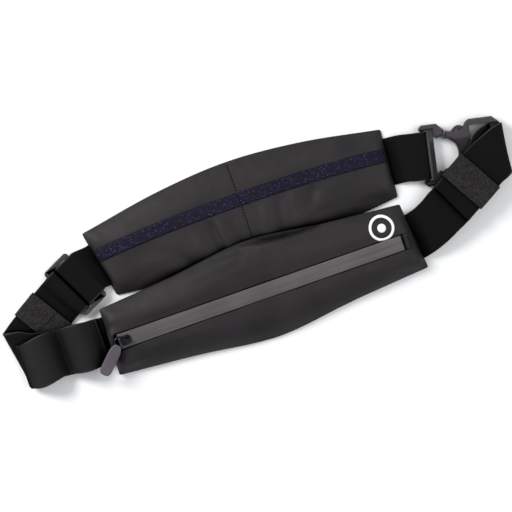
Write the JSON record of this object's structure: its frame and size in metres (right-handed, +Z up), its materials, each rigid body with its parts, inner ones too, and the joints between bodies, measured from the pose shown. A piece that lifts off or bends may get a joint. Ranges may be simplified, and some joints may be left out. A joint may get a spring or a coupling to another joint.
{
  "type": "running belt waist pack",
  "caption": "Slim running belt: two tapered stretch pouches on webbing with a zip, gel loops, elastic keepers, a tri-glide and a side-release buckle.",
  "frame": {"origin": "middle of the belt's bounding box, on the surface that it lies on", "axes": "+X along the pouches towards the buckle, +Y from the front pouch to the rear pouch, +Z up from the surface that it lies on"},
  "size_m": [0.4502, 0.152, 0.0227],
  "materials": {
    "shell_fabric": "smooth matte stretch fabric, warm charcoal",
    "patch_fabric": "matte woven tape, black",
    "webbing": "fine woven webbing, black",
    "keeper_elastic": "coarse woven elastic, dark grey",
    "grip_strip": "elastic tape with small silicone beads, navy",
    "zip_tape": "smooth water-resistant film, grey satin",
    "zip_coil": "nylon coil, black",
    "slider_metal": "gunmetal plating",
    "pull_rubber": "matte soft rubber, grey",
    "badge_print": "white screen print",
    "thread": "black polyester thread",
    "buckle_plastic": "moulded acetal, dark warm grey, satin gloss"
  },
  "bodies": {
    "belt": {"front_back_panel": "shell_fabric", "front_face_panel": "shell_fabric", "rear_outer_panel": "shell_fabric", "rear_inner_panel": "shell_fabric", "rear_divider": "shell_fabric", "zip_end_patch": "patch_fabric", "zip_tape_upper": "zip_tape", "zip_tape_lower": "zip_tape", "zip_coil_upper": "zip_coil", "zip_coil_lower": "zip_coil", "zip_end_stops": "slider_metal", "roundel": "badge_print", "grip_strip": "grip_strip", "divider_stitching": "thread", "loop_stitching": "thread", "left_long_strap": "webbing", "left_short_strap": "webbing", "gel_loops": "webbing", "right_long_strap": "webbing", "right_short_strap": "webbing", "tri_glide": "buckle_plastic", "buckle_male": "buckle_plastic"},
    "slider": {"zip_slider": "slider_metal"},
    "link": {"pull_link": "slider_metal"},
    "tab": {"pull_tab": "pull_rubber"},
    "left_band": {"left_keeper": "keeper_elastic"},
    "right_band": {"right_keeper": "keeper_elastic"},
    "female_half": {"buckle_female": "buckle_plastic"},
    "upper_latch": {"latch_arm_upper": "buckle_plastic"},
    "lower_latch": {"latch_arm_lower": "buckle_plastic"}
  },
  "joints": [
    {"name": "zip_slide", "type": "slide", "parent": "belt", "child": "slider", "axis": [1, 0, 0], "range_m": [0, 0.2356]},
    {"name": "link_lift", "type": "hinge", "parent": "slider", "child": "link", "pos_m": [-0.12981, -0.03651, 0.0201], "axis": [0, 0.9914, 0.1305], "range_deg": [0, 120]},
    {"name": "tab_swing", "type": "hinge", "parent": "link", "child": "tab", "pos_m": [-0.13411, -0.03651, 0.0201], "axis": [0, -0.1305, 0.9914], "range_deg": [-45, 40]},
    {"name": "left_keeper_slide", "type": "slide", "parent": "belt", "child": "left_band", "axis": [0.8499, 0.527, 0], "range_m": [-0.003, 0.003]},
    {"name": "buckle_release", "type": "slide", "parent": "belt", "child": "female_half", "axis": [0.9781, -0.2079, 0], "range_m": [0, 0.032], "deforming": ["right_long_strap", "latch_arm_upper", "latch_arm_lower"]},
    {"name": "right_keeper_slide", "type": "slide", "parent": "female_half", "child": "right_band", "axis": [0.8686, 0.4955, 0], "range_m": [-0.008, 0.002]},
    {"name": "upper_latch_squeeze", "type": "hinge", "parent": "belt", "child": "upper_latch", "pos_m": [0.17149, 0.04007, 0.005], "axis": [0, 0, -1], "range_deg": [0, 12], "stiffness_Nm_per_rad": 0.6},
    {"name": "lower_latch_squeeze", "type": "hinge", "parent": "belt", "child": "lower_latch", "pos_m": [0.16421, 0.00584, 0.005], "axis": [0, 0, 1], "range_deg": [0, 12], "stiffness_Nm_per_rad": 0.6}
  ]
}
